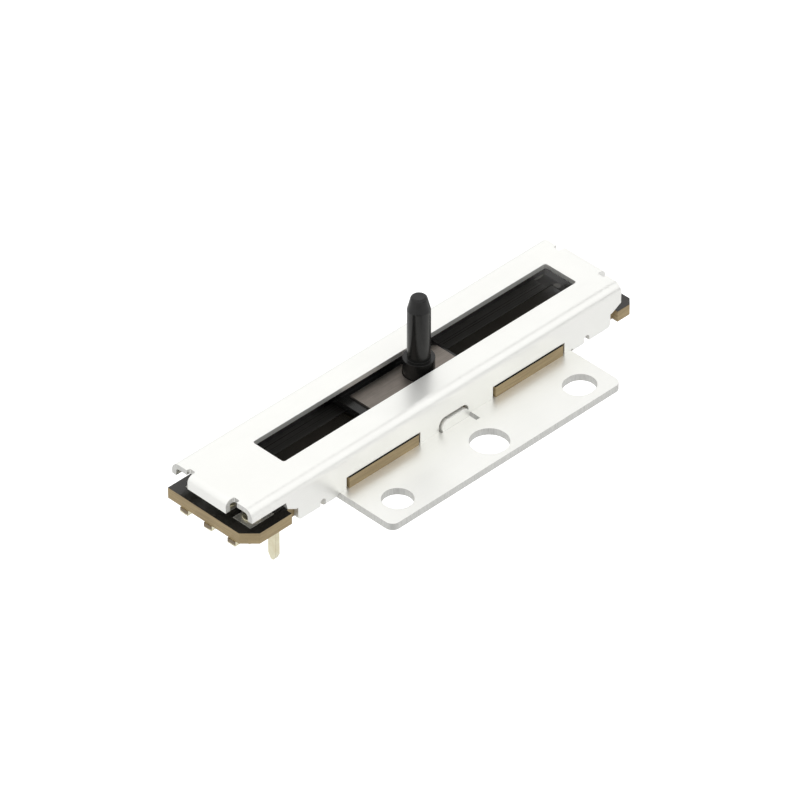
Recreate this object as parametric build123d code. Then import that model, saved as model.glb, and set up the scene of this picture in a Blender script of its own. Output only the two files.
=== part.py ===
"""Resistive position sensor: a linear track element with a sliding lever and a side mounting bracket.

Frame: X runs along the travel, +Z is up, and the origin is the centre of the screw hole on the
underside of the bracket. The lever is drawn LEVER_X beside the middle of its travel. Sizes are in
millimetres.
"""

import os

from build123d import *

# ---- travel and lever -------------------------------------------------------
TRAVEL = 32.0
LEVER_X = 0.25                  # where the lever is drawn, from the middle of its travel
LEVER_DIAMETER = 2.05
LEVER_HEIGHT = 6.75             # above the top of the cover
LEVER_TIP_DIAMETER = 1.4
LEVER_TIP_HEIGHT = 1.3
LEVER_TIP_ROUND = 0.25
COLLAR_DIAMETER = 2.8
COLLAR_PROUD = 0.35             # above the top of the cover
END_STOP_CLEARANCE = 0.1

# ---- cover, folded from sheet -----------------------------------------------
COVER_SHEET = 0.5
COVER_WIDTH = 9.6
COVER_HEIGHT = 3.75             # from the underside of the board to the top
COVER_FOLD = 0.85               # outer radius of the long folds
COVER_LEFT_MARGIN = 6.5         # from the slot's left end to the end of the top
COVER_RIGHT_MARGIN = 2.5
SLOT_WIDTH = 3.74
SLOT_CORNER = 0.25
WALL_HALF_LENGTH = 18.7         # of the deep part of each long wall
WALL_OVERLAP = 0.15             # how far the deep wall reaches below the board's underside
WALL_CORNER = 0.4
SHALLOW_WALL_DEPTH = 1.25       # of the wall at the left end, from the top
STEP_RUN = 1.0                  # sloping step where the wall clears the board's wide ends
STEP_RISE = 0.55
STEP_GAP = 0.2
FLAP_WIDTH = 4.6
FLAP_DEPTH = 1.25
FLAP_FOLD = 0.6
FLAP_RELIEF_WIDTH = 0.7
FLAP_RELIEF_DEPTH = 0.35
FLAP_RELIEF_CORNER = 0.15

# ---- windows, claws and reliefs in the long walls ----------------------------
TAB_INNER = 4.6                 # board tabs, from the middle of the travel
TAB_OUTER = 12.8
TAB_SIDE_GAP = 0.25
TAB_TOP_GAP = 0.1
CLAW_WIDTH = 1.4
CLAW_REACH = 1.8
CLAW_TO_PLATE = 0.3
CLAW_RELIEF_WIDTH = 0.6
CLAW_RELIEF_HEIGHT = 0.5
REAR_CLAW_WIDTH = 4.0           # claw in the middle of the rear wall
REAR_CLAW_GAP = 0.1             # round it, in its notch of the bracket

# ---- bracket, stamped from sheet ---------------------------------------------
BRACKET_SHEET = 0.7
BRACKET_LENGTH = 27.6
BRACKET_REACH = 6.2             # beyond the cover's wall
BRACKET_CORNER = 0.8
HOLE_TO_WALL = 3.9
SCREW_HOLE = 3.5
LOCATING_HOLE = 2.8
LOCATING_SLOT_EXTRA = 0.3
HOLE_PITCH = 10.9
LUG_WIDTH = 3.2
LUG_OFFSET = -0.35              # of the lug's centre from the screw hole
LUG_HEIGHT = 1.0                # above the bracket's top
LUG_CORNER = 0.7
LUG_PROUD = 0.3                 # of the wall's outer face
LUG_FOLD = 0.56                 # outer radius of its bend
LUG_SLIT = 0.45                 # on the right of the lug
LUG_SLIT_LENGTH = 0.8           # in front of the lug
LUG_NARROW_SLIT = 0.15          # on the left of the lug, ending level with it
LUG_WINDOW = 2.0                # opening left behind the lug
LUG_SIDE_GAP = 0.15
LUG_TOP_GAP = 0.2

# ---- board, tracks and electrodes --------------------------------------------
BOARD_THICKNESS = 1.1
BOARD_PROUD = 0.09              # of the cover's walls, on each side
BOARD_LEFT_BEYOND = 0.45        # past the left end of the cover's top
BOARD_RIGHT_BEYOND = 1.6
BOARD_LEFT_CHAMFER = 1.23
BOARD_RIGHT_CHAMFER = 0.6
BOARD_WIDE_END_GAP = 0.8        # from the deep wall's end to the wide end of the board
BOARD_SIDE_GAP = 0.05
FILM = 0.05
TRACK_WIDTH = 1.6
TRACK_Y = 2.55                  # resistive track, from the slot's centre line
COLLECTOR_TO_LEAD = 0.6         # gap between the collector track and the long lead beside it
COLLECTOR_WIDTH = 1.4
TRACK_OVERRUN = 1.0             # past the travel of the brushes, at each end
LEAD_WIDTH = 0.6
ELECTRODE_LENGTH = 1.2
RETURN_LEAD_TO_WALL = 0.7       # from the middle of the long lead to the cover's inner wall
FILM_GAP = 0.1

# ---- terminals ----------------------------------------------------------------
TERMINAL_PITCH = 2.85
TERMINAL_SHEET = 0.48
TERMINAL_WIDTH = 0.9
TERMINAL_FROM_END = 5.0         # from the board's left end to the pin
TERMINAL_TAIL_PROUD = 0.12      # tail beyond the board's left end
PIN_LENGTH = 4.75               # below the board
PIN_TIP = 0.55
PIN_TIP_WIDTH = 0.3
PIN_FOLD = 0.45
PAD_LENGTH = 2.4
PAD_WIDTH = 2.1
EYELET_FROM_END = 2.3
EYELET_BORE = 0.7
EYELET_DIAMETER = 1.1
EYELET_FLANGE = 1.7
EYELET_FLANGE_THICKNESS = 0.15

# ---- slider ---------------------------------------------------------------------
CARRIER_LEFT = 7.45             # from the lever's axis
CARRIER_RIGHT = 4.05
CARRIER_SIDE_GAP = 0.2
CARRIER_FLOOR_GAP = 0.5         # above the board, room for the brushes
CARRIER_THICKNESS = 0.7
CARRIER_CORNER = 0.4
RAIL_INNER = 2.3
RAIL_WIDTH = 0.8
RAIL_TOP_GAP = 0.08
SPRING_LEFT = 6.45
SPRING_RIGHT = 3.65
SPRING_WIDTH = 3.5
SPRING_SHEET = 0.2
SPRING_END_ROUND = 0.4
SPRING_HOLE_GAP = 0.05
BRUSH_SHEET = 0.12
BRUSH_BASE_LEFT = 4.4
BRUSH_BASE_LENGTH = 2.6
BRUSH_FINGER = 0.24
BRUSH_FINGER_GAP = 0.12
BRUSH_FINGERS = 4
BRUSH_TIP_X = 0.6               # where the fingers meet the track, from the lever's axis
BRUSH_TIP_LENGTH = 0.45
BRUSH_GAP = 0.03
BRUSH_STUD_DIAMETER = 0.8
BRUSH_STUD_HEAD = 0.15
BRUSH_STUD_HEAD_DIAMETER = 1.2

# ---- places worked out from the sizes above ---------------------------------------
SLOT_HALF = TRAVEL / 2 + COLLAR_DIAMETER / 2 + END_STOP_CLEARANCE
COVER_X0 = -SLOT_HALF - COVER_LEFT_MARGIN
COVER_X1 = SLOT_HALF + COVER_RIGHT_MARGIN
AXIS_Y = HOLE_TO_WALL + COVER_WIDTH / 2
WALL_OUT = COVER_WIDTH / 2
WALL_IN = WALL_OUT - COVER_SHEET
PLATE_TOP = BRACKET_SHEET
BOARD_TOP = PLATE_TOP + BOARD_THICKNESS
COVER_TOP = PLATE_TOP + COVER_HEIGHT
COVER_INNER = COVER_TOP - COVER_SHEET
WALL_FOOT = PLATE_TOP - WALL_OVERLAP
WINDOW_TOP = BOARD_TOP + TAB_TOP_GAP
BRACKET_HALF = BRACKET_LENGTH / 2
CLAW_INNER = BRACKET_HALF + CLAW_TO_PLATE
BOARD_HALF = WALL_OUT + BOARD_PROUD
BOARD_X0 = COVER_X0 - BOARD_LEFT_BEYOND
BOARD_X1 = COVER_X1 + BOARD_RIGHT_BEYOND
FILM_TOP = BOARD_TOP + FILM
EYELET_X = BOARD_X0 + EYELET_FROM_END
TERMINAL_X = BOARD_X0 + TERMINAL_FROM_END
TERMINALS = {"start": TERMINAL_PITCH, "wiper": 0.0, "end": -TERMINAL_PITCH}
CARRIER_BOTTOM = BOARD_TOP + CARRIER_FLOOR_GAP
CARRIER_TOP = CARRIER_BOTTOM + CARRIER_THICKNESS
CARRIER_HALF = WALL_IN - CARRIER_SIDE_GAP
BRUSH_END = TRAVEL / 2 + BRUSH_TIP_X
TRACK_X0 = -TRAVEL / 2 - TRACK_OVERRUN
TRACK_X1 = BRUSH_END + TRACK_OVERRUN
RETURN_LEAD_Y = RETURN_LEAD_TO_WALL - WALL_IN
COLLECTOR_Y = RETURN_LEAD_Y + (LEAD_WIDTH + COLLECTOR_WIDTH) / 2 + COLLECTOR_TO_LEAD
CUT = 1.0                       # overrun of a cutting tool past a face
ROUND_MARGIN = 0.01             # what a full rounding leaves of the flat, so that a face remains


def block(x0, x1, y0, y1, z0, z1):
    """A box between two corners, with y measured from the slot's centre line."""
    size = (x1 - x0, y1 - y0, z1 - z0)
    centre = ((x0 + x1) / 2, AXIS_Y + (y0 + y1) / 2, (z0 + z1) / 2)
    return Pos(*centre) * Box(*size)


def rod(diameter, x, y, z0, z1):
    """An upright cylinder, with y measured from the slot's centre line."""
    return Pos(x, AXIS_Y + y, (z0 + z1) / 2) * Cylinder(diameter / 2, z1 - z0)


def edges_at(shape, axis, x=None, y=None, z=None, tolerance=1e-4):
    """The edges along an axis whose centres lie at the given coordinates."""
    wanted = ((x, "X"), (y, "Y"), (z, "Z"))
    found = shape.edges().filter_by(axis)
    for value, name in wanted:
        if value is not None:
            found = [e for e in found if abs(getattr(e.center(), name) - value) < tolerance]
    return found


def wall_outline():
    """Side view of the cover: deep walls with sloping steps, and the shallow wall at the left."""
    step_in = WALL_HALF_LENGTH + STEP_GAP
    step_out = step_in + STEP_RUN
    step_top = WINDOW_TOP + STEP_RISE
    shallow = COVER_TOP - SHALLOW_WALL_DEPTH
    points = [
        (COVER_X0, COVER_TOP), (COVER_X0, shallow), (-step_out - STEP_GAP, shallow),
        (-step_out, step_top), (-step_in, WINDOW_TOP), (-WALL_HALF_LENGTH, WINDOW_TOP),
        (-WALL_HALF_LENGTH, WALL_FOOT), (WALL_HALF_LENGTH, WALL_FOOT),
        (WALL_HALF_LENGTH, WINDOW_TOP), (step_in, WINDOW_TOP), (step_out, step_top),
        (COVER_X1, step_top), (COVER_X1, COVER_TOP),
    ]
    face = Plane.XZ * make_face(Polyline(*points, close=True))
    feet = [v for v in face.vertices() if abs(v.Z - WALL_FOOT) < 1e-4]
    return fillet(feet, WALL_CORNER)


def cover_shell():
    """The folded channel, before its openings are cut."""
    outer = block(COVER_X0, COVER_X1, -WALL_OUT, WALL_OUT, WALL_FOOT, COVER_TOP)
    folds = edges_at(outer, Axis.X, z=COVER_TOP)
    outer = fillet(folds, COVER_FOLD)
    inner = block(COVER_X0 - CUT, COVER_X1 + CUT, -WALL_IN, WALL_IN, WALL_FOOT - CUT, COVER_INNER)
    inner = fillet(edges_at(inner, Axis.X, z=COVER_INNER), COVER_FOLD - COVER_SHEET)
    outline = Pos(0, AXIS_Y, 0) * extrude(wall_outline(), amount=COVER_WIDTH, both=True)
    return (outer - inner) & outline


def end_flap(side):
    """The narrow flap folded down at one end of the cover."""
    end = COVER_X0 if side < 0 else COVER_X1
    half = FLAP_WIDTH / 2
    outer = sorted((end, end + side * FLAP_FOLD))
    flap = block(*outer, -half, half, COVER_TOP - FLAP_DEPTH, COVER_TOP)
    fold = edges_at(flap, Axis.Y, x=end + side * FLAP_FOLD, z=COVER_TOP)
    flap = fillet(fold, FLAP_FOLD - ROUND_MARGIN)
    hollow = sorted((end - side * CUT, end + side * (FLAP_FOLD - COVER_SHEET)))
    return flap - block(*hollow, -half - CUT, half + CUT, -CUT, COVER_INNER)


def flap_reliefs(side):
    """The two small notches beside an end flap."""
    end = COVER_X0 if side < 0 else COVER_X1
    reliefs = []
    for y_side in (-1, 1):
        y = sorted((y_side * FLAP_WIDTH / 2, y_side * (FLAP_WIDTH / 2 + FLAP_RELIEF_WIDTH)))
        x = sorted((end - side * FLAP_RELIEF_DEPTH, end + side * CUT))
        notch = block(*x, *y, COVER_INNER - CUT, COVER_TOP + CUT)
        inner_edges = edges_at(notch, Axis.Z, x=end - side * FLAP_RELIEF_DEPTH)
        reliefs.append(fillet(inner_edges, FLAP_RELIEF_CORNER))
    return reliefs


def claw(x0, x1, y_side):
    """A tab of the wall folded under the board."""
    low = PLATE_TOP - COVER_SHEET
    y = sorted((y_side * WALL_OUT, y_side * (WALL_OUT - CLAW_REACH)))
    under = block(x0, x1, *y, low, PLATE_TOP)
    y = sorted((y_side * WALL_OUT, y_side * WALL_IN))
    tab = under + block(x0, x1, *y, low, PLATE_TOP + CLAW_RELIEF_HEIGHT)
    fold = edges_at(tab, Axis.X, y=AXIS_Y + y_side * WALL_OUT, z=low)
    return fillet(fold, COVER_SHEET - ROUND_MARGIN)


def make_cover():
    """Folded sheet cover with its slot, windows, claws and end flaps."""
    cover = cover_shell()
    half = SLOT_WIDTH / 2
    slot = block(-SLOT_HALF, SLOT_HALF, -half, half, COVER_INNER - CUT, COVER_TOP + CUT)
    cover -= fillet(slot.edges().filter_by(Axis.Z), SLOT_CORNER)
    for side in (-1, 1):
        cover += end_flap(side)
        for notch in flap_reliefs(side):
            cover -= notch
    deep = (-WALL_OUT - CUT, WALL_OUT + CUT, WALL_FOOT - CUT)
    for side in (-1, 1):
        x = sorted((side * (TAB_INNER - TAB_SIDE_GAP), side * (TAB_OUTER + TAB_SIDE_GAP)))
        cover -= block(*x, *deep, WINDOW_TOP)
        relief_x = side * (CLAW_INNER + CLAW_WIDTH)
        x = sorted((relief_x, relief_x + side * CLAW_RELIEF_WIDTH))
        relief = block(*x, *deep, PLATE_TOP + CLAW_RELIEF_HEIGHT)
        relief_top = edges_at(relief, Axis.Y, z=PLATE_TOP + CLAW_RELIEF_HEIGHT)
        cover -= fillet(relief_top, CLAW_RELIEF_WIDTH / 2 - ROUND_MARGIN)
    front = (-WALL_OUT - CUT, 0, WALL_FOOT - CUT)
    cover -= block(-CLAW_INNER, CLAW_INNER, *front, PLATE_TOP)
    lug_half = LUG_WIDTH / 2 + LUG_SIDE_GAP
    notch_top = PLATE_TOP + LUG_HEIGHT + LUG_TOP_GAP
    notch = block(LUG_OFFSET - lug_half, LUG_OFFSET + lug_half, *front, notch_top)
    cover -= fillet(edges_at(notch, Axis.Y, z=notch_top), LUG_CORNER)
    for y_side in (-1, 1):
        for side in (-1, 1):
            x = sorted((side * CLAW_INNER, side * (CLAW_INNER + CLAW_WIDTH)))
            cover += claw(*x, y_side)
    return cover + claw(-REAR_CLAW_WIDTH / 2, REAR_CLAW_WIDTH / 2, 1)


def make_bracket():
    """Stamped bracket that passes under the board, with its lug, screw hole and locating holes."""
    front = -WALL_OUT - BRACKET_REACH
    plate = block(-BRACKET_HALF, BRACKET_HALF, front, WALL_IN - BOARD_SIDE_GAP, 0, BRACKET_SHEET)
    corners = edges_at(plate, Axis.Z, y=AXIS_Y + front)
    plate = fillet(corners, BRACKET_CORNER)
    hole_y = -AXIS_Y
    plate -= rod(SCREW_HOLE, 0, hole_y, -CUT, BRACKET_SHEET + CUT)
    plate -= rod(LOCATING_HOLE, -HOLE_PITCH, hole_y, -CUT, BRACKET_SHEET + CUT)
    long_hole = SlotCenterToCenter(LOCATING_SLOT_EXTRA, LOCATING_HOLE)
    plate -= Pos(HOLE_PITCH, 0, -CUT) * extrude(long_hole, amount=BRACKET_SHEET + 2 * CUT)
    lug_x0 = LUG_OFFSET - LUG_WIDTH / 2
    lug_x1 = LUG_OFFSET + LUG_WIDTH / 2
    lug_front = -WALL_OUT - LUG_PROUD
    lug_back = lug_front + BRACKET_SHEET
    through = (-CUT, BRACKET_SHEET + CUT)
    plate -= block(lug_x0 - LUG_NARROW_SLIT, lug_x0, lug_front, lug_back, *through)
    plate -= block(lug_x1, lug_x1 + LUG_SLIT, lug_front - LUG_SLIT_LENGTH, lug_back, *through)
    plate -= block(lug_x0 - LUG_NARROW_SLIT, lug_x1 + LUG_SLIT, lug_back, lug_back + LUG_WINDOW, *through)
    notch_half = REAR_CLAW_WIDTH / 2 + REAR_CLAW_GAP
    plate -= block(-notch_half, notch_half, WALL_OUT - CLAW_REACH - REAR_CLAW_GAP, WALL_OUT, *through)
    lug = block(lug_x0, lug_x1, lug_front, lug_back, 0, BRACKET_SHEET + LUG_HEIGHT)
    lug = fillet(edges_at(lug, Axis.Y, z=BRACKET_SHEET + LUG_HEIGHT), LUG_CORNER)
    lug = fillet(edges_at(lug, Axis.X, y=AXIS_Y + lug_back, z=0), LUG_FOLD)
    return plate + lug


def make_board():
    """Laminate board with tabs for the cover's windows, wide ends and trimmed corners."""
    narrow = WALL_IN - BOARD_SIDE_GAP
    wide_from = WALL_HALF_LENGTH + BOARD_WIDE_END_GAP
    board = block(BOARD_X0, BOARD_X1, -narrow, narrow, PLATE_TOP, BOARD_TOP)
    board += block(BOARD_X0, -wide_from, -BOARD_HALF, BOARD_HALF, PLATE_TOP, BOARD_TOP)
    board += block(wide_from, BOARD_X1, -BOARD_HALF, BOARD_HALF, PLATE_TOP, BOARD_TOP)
    for side in (-1, 1):
        x = sorted((side * TAB_INNER, side * TAB_OUTER))
        board += block(*x, -BOARD_HALF, BOARD_HALF, PLATE_TOP, BOARD_TOP)
    left_corner = edges_at(board, Axis.Z, x=BOARD_X0, y=AXIS_Y - BOARD_HALF)
    board = chamfer(left_corner, BOARD_LEFT_CHAMFER)
    board = chamfer(edges_at(board, Axis.Z, x=BOARD_X1), BOARD_RIGHT_CHAMFER)
    for y in TERMINALS.values():
        board -= eyelet_hole(y)
    return board


def film(x0, x1, y, width):
    """A printed strip on the top of the board."""
    return block(x0, x1, y - width / 2, y + width / 2, BOARD_TOP, FILM_TOP)


def eyelet_hole(y):
    """The cut for one eyelet through the board and its print."""
    return rod(EYELET_DIAMETER, EYELET_X, y, 0, COVER_TOP)


def pad(y):
    """The printed pad under the head of one eyelet."""
    half = PAD_LENGTH / 2
    return film(EYELET_X - half, EYELET_X + half, y, PAD_WIDTH) - eyelet_hole(y)


def make_electrode_start():
    """Silver print from the first eyelet to the near end of the resistive track."""
    lead = film(EYELET_X, TRACK_X0 - ELECTRODE_LENGTH, TERMINALS["start"], LEAD_WIDTH)
    head = film(TRACK_X0 - ELECTRODE_LENGTH, TRACK_X0, TRACK_Y, TRACK_WIDTH)
    return pad(TERMINALS["start"]) + (lead - eyelet_hole(TERMINALS["start"])) + head


def make_electrode_wiper():
    """Silver print from the middle eyelet to the collector track."""
    bend_x = TRACK_X0 - ELECTRODE_LENGTH
    lead = film(EYELET_X, bend_x, TERMINALS["wiper"], LEAD_WIDTH) - eyelet_hole(TERMINALS["wiper"])
    top = TERMINALS["wiper"] + LEAD_WIDTH / 2
    link = block(bend_x, TRACK_X0, COLLECTOR_Y - COLLECTOR_WIDTH / 2, top, BOARD_TOP, FILM_TOP)
    return pad(TERMINALS["wiper"]) + lead + link


def make_electrode_end():
    """Silver print from the last eyelet along the board to the far end of the resistive track."""
    far = TRACK_X1 + ELECTRODE_LENGTH
    start = block(EYELET_X, EYELET_X + PAD_LENGTH, RETURN_LEAD_Y - LEAD_WIDTH / 2,
                  TERMINALS["end"] + LEAD_WIDTH / 2, BOARD_TOP, FILM_TOP)
    start -= eyelet_hole(TERMINALS["end"])
    lead = film(EYELET_X + PAD_LENGTH, far, RETURN_LEAD_Y, LEAD_WIDTH)
    riser = block(far - LEAD_WIDTH, far, RETURN_LEAD_Y, TRACK_Y + TRACK_WIDTH / 2, BOARD_TOP, FILM_TOP)
    head = film(TRACK_X1, far, TRACK_Y, TRACK_WIDTH)
    return pad(TERMINALS["end"]) + start + lead + riser + head


def make_resistive_track():
    """Carbon film that the first brush runs on."""
    return film(TRACK_X0, TRACK_X1, TRACK_Y, TRACK_WIDTH)


def make_collector_track():
    """Conductive film that the second brush runs on."""
    return film(TRACK_X0, TRACK_X1 - FILM_GAP, COLLECTOR_Y, COLLECTOR_WIDTH)


def make_terminal(y):
    """One stamped terminal: tail, eyelet pad, arm and pointed pin, under the left end of the board."""
    half = TERMINAL_WIDTH / 2
    low = PLATE_TOP - TERMINAL_SHEET
    strip = block(BOARD_X0 - TERMINAL_TAIL_PROUD, TERMINAL_X, y - half, y + half, low, PLATE_TOP)
    land = block(EYELET_X - PAD_LENGTH / 2, EYELET_X + PAD_LENGTH / 2,
                 y - PAD_WIDTH / 2, y + PAD_WIDTH / 2, low, PLATE_TOP)
    land = fillet(land.edges().filter_by(Axis.Z), TERMINAL_SHEET)
    bottom = PLATE_TOP - PIN_LENGTH
    tip = PIN_TIP_WIDTH / 2
    points = [
        (y - half, PLATE_TOP), (y - half, bottom + PIN_TIP), (y - tip, bottom),
        (y + tip, bottom), (y + half, bottom + PIN_TIP), (y + half, PLATE_TOP),
    ]
    profile = Plane.YZ * make_face(Polyline(*points, close=True))
    pin = Pos(TERMINAL_X - TERMINAL_SHEET, AXIS_Y, 0) * extrude(profile, amount=TERMINAL_SHEET)
    terminal = strip + land + pin
    fold = edges_at(terminal, Axis.Y, x=TERMINAL_X, z=PLATE_TOP)
    terminal = fillet(fold, PIN_FOLD)
    return terminal - rod(EYELET_DIAMETER, EYELET_X, y, low - CUT, PLATE_TOP + CUT)


def make_eyelets():
    """The three hollow rivets that clamp the terminals to the board."""
    low = PLATE_TOP - TERMINAL_SHEET
    eyelets = []
    for y in TERMINALS.values():
        eyelet = rod(EYELET_DIAMETER, EYELET_X, y, low, FILM_TOP)
        eyelet += rod(EYELET_FLANGE, EYELET_X, y, FILM_TOP, FILM_TOP + EYELET_FLANGE_THICKNESS)
        eyelet += rod(EYELET_FLANGE, EYELET_X, y, low - EYELET_FLANGE_THICKNESS, low)
        eyelets.append(eyelet - rod(EYELET_BORE, EYELET_X, y, -CUT, COVER_TOP))
    return Compound(children=eyelets)


def make_slider():
    """Moulded carrier with its guide rails, collar and lever, all one piece."""
    body = block(-CARRIER_LEFT, CARRIER_RIGHT, -CARRIER_HALF, CARRIER_HALF, CARRIER_BOTTOM, CARRIER_TOP)
    body = fillet(body.edges().filter_by(Axis.Z), CARRIER_CORNER)
    for side in (-1, 1):
        y = sorted((side * RAIL_INNER, side * (RAIL_INNER + RAIL_WIDTH)))
        rail = block(-CARRIER_LEFT + CARRIER_CORNER, CARRIER_RIGHT - CARRIER_CORNER, *y,
                     CARRIER_TOP, COVER_INNER - RAIL_TOP_GAP)
        body += fillet(rail.edges().filter_by(Axis.Z), RAIL_WIDTH / 2 - ROUND_MARGIN)
    body += rod(COLLAR_DIAMETER, 0, 0, CARRIER_TOP, COVER_TOP + COLLAR_PROUD)
    top = COVER_TOP + LEVER_HEIGHT
    body += rod(LEVER_DIAMETER, 0, 0, COVER_TOP, top - LEVER_TIP_HEIGHT)
    tip = Cone(LEVER_DIAMETER / 2, LEVER_TIP_DIAMETER / 2, LEVER_TIP_HEIGHT)
    body += Pos(0, AXIS_Y, top - LEVER_TIP_HEIGHT / 2) * tip
    rims = body.edges().filter_by(GeomType.CIRCLE)
    rims = [e for e in rims if e.center().Z > top - LEVER_TIP_HEIGHT - ROUND_MARGIN]
    body = fillet(rims, LEVER_TIP_ROUND)
    for y in (TRACK_Y, COLLECTOR_Y):
        stud_x = -BRUSH_BASE_LEFT - BRUSH_BASE_LENGTH / 2
        body += rod(BRUSH_STUD_DIAMETER, stud_x, y, CARRIER_BOTTOM - BRUSH_SHEET, CARRIER_BOTTOM)
        low = CARRIER_BOTTOM - BRUSH_SHEET - BRUSH_STUD_HEAD
        body += rod(BRUSH_STUD_HEAD_DIAMETER, stud_x, y, low, CARRIER_BOTTOM - BRUSH_SHEET)
    return body


def make_slider_spring():
    """Flat spring plate that lies on the carrier round the collar."""
    half = SPRING_WIDTH / 2
    plate = block(-SPRING_LEFT, SPRING_RIGHT, -half, half, CARRIER_TOP, CARRIER_TOP + SPRING_SHEET)
    plate = fillet(edges_at(plate, Axis.Z, x=SPRING_RIGHT), SPRING_END_ROUND)
    hole = COLLAR_DIAMETER + 2 * SPRING_HOLE_GAP
    return plate - rod(hole, 0, 0, CARRIER_BOTTOM, COVER_TOP)


def brush_fingers(y):
    """The row of fingers that reaches down to one track."""
    pitch = BRUSH_FINGER + BRUSH_FINGER_GAP
    x0 = -BRUSH_BASE_LEFT
    bend = BRUSH_TIP_X - BRUSH_TIP_LENGTH
    high = CARRIER_BOTTOM
    low = FILM_TOP + BRUSH_GAP
    points = [
        (x0, high), (x0, high - BRUSH_SHEET), (bend, low), (BRUSH_TIP_X, low),
        (BRUSH_TIP_X, low + BRUSH_SHEET), (bend, low + BRUSH_SHEET),
    ]
    profile = Plane.XZ * make_face(Polyline(*points, close=True))
    fingers = []
    for index in range(BRUSH_FINGERS):
        offset = (index - (BRUSH_FINGERS - 1) / 2) * pitch
        finger = extrude(profile, amount=BRUSH_FINGER / 2, both=True)
        fingers.append(Pos(0, AXIS_Y + y + offset, 0) * finger)
    return fingers


def make_wiper_contact():
    """One springy stamping that bridges both tracks, with a row of fingers on each."""
    width = BRUSH_FINGERS * (BRUSH_FINGER + BRUSH_FINGER_GAP) - BRUSH_FINGER_GAP
    x0 = -BRUSH_BASE_LEFT - BRUSH_BASE_LENGTH
    y0 = COLLECTOR_Y - width / 2
    y1 = TRACK_Y + width / 2
    contact = block(x0, -BRUSH_BASE_LEFT, y0, y1, CARRIER_BOTTOM - BRUSH_SHEET, CARRIER_BOTTOM)
    stud_x = (x0 - BRUSH_BASE_LEFT) / 2
    for y in (TRACK_Y, COLLECTOR_Y):
        contact -= rod(BRUSH_STUD_DIAMETER, stud_x, y, CARRIER_BOTTOM - CUT, CARRIER_BOTTOM + CUT)
        for finger in brush_fingers(y):
            contact += finger
    return contact


def main():
    """Build every node and write one STEP file for each."""
    nodes = {
        "cover": make_cover(),
        "mounting_bracket": make_bracket(),
        "circuit_board": make_board(),
        "resistive_track": make_resistive_track(),
        "collector_track": make_collector_track(),
        "electrode_start": make_electrode_start(),
        "electrode_wiper": make_electrode_wiper(),
        "electrode_end": make_electrode_end(),
        "terminal_eyelets": make_eyelets(),
    }
    sliding = {
        "slider": make_slider(),
        "slider_spring": make_slider_spring(),
        "wiper_contact": make_wiper_contact(),
    }
    for name, shape in sliding.items():
        nodes[name] = Pos(LEVER_X, 0, 0) * shape
    for name, y in TERMINALS.items():
        nodes[f"terminal_{name}"] = make_terminal(y)
    os.makedirs("parts", exist_ok=True)
    for name, shape in nodes.items():
        export_step(shape, f"parts/{name}.step")


main()
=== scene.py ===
"""Finishes and stage for the resistive position sensor, laid out as a Blender add-on.

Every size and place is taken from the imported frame, in metres. The CAD pieces keep their shapes:
this file gives them their finishes, turns the eyelets' rolled heads, and sets the stage.
"""

import math

import bmesh
import bpy
from bpy.props import FloatProperty, FloatVectorProperty, IntProperty, PointerProperty
from mathutils import Matrix, Vector


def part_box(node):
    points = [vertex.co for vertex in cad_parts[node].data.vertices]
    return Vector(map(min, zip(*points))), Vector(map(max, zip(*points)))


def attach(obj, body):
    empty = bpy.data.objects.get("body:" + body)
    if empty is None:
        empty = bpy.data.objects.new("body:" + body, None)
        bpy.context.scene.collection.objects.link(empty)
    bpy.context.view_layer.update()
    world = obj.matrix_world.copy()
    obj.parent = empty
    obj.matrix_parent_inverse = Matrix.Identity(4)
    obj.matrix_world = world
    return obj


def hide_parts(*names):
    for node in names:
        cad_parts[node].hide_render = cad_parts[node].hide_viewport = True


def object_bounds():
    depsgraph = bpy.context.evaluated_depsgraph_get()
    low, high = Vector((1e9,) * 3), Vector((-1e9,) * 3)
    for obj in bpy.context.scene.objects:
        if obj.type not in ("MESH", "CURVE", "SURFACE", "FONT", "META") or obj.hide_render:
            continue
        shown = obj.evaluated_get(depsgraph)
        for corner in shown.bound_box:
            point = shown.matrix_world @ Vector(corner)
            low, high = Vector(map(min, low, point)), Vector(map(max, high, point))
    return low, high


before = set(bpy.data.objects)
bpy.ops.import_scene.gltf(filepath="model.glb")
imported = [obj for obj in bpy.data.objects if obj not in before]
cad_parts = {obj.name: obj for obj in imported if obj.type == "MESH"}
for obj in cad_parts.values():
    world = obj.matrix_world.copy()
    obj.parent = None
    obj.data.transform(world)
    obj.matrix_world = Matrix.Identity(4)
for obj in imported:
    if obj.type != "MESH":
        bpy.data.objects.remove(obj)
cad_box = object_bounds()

bl_info = {
    "name": "Resistive position sensor",
    "version": (1, 0, 0),
    "blender": (4, 5, 0),
    "location": "View3D > Sidebar > Sensor",
    "description": "Finishes and stage for a linear resistive position sensor",
    "category": "Object",
}

MM = 0.001
SEAM = 0.02 * MM                     # tolerance when a face is told apart by its place


# ---- places read from the frame ---------------------------------------------------

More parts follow.
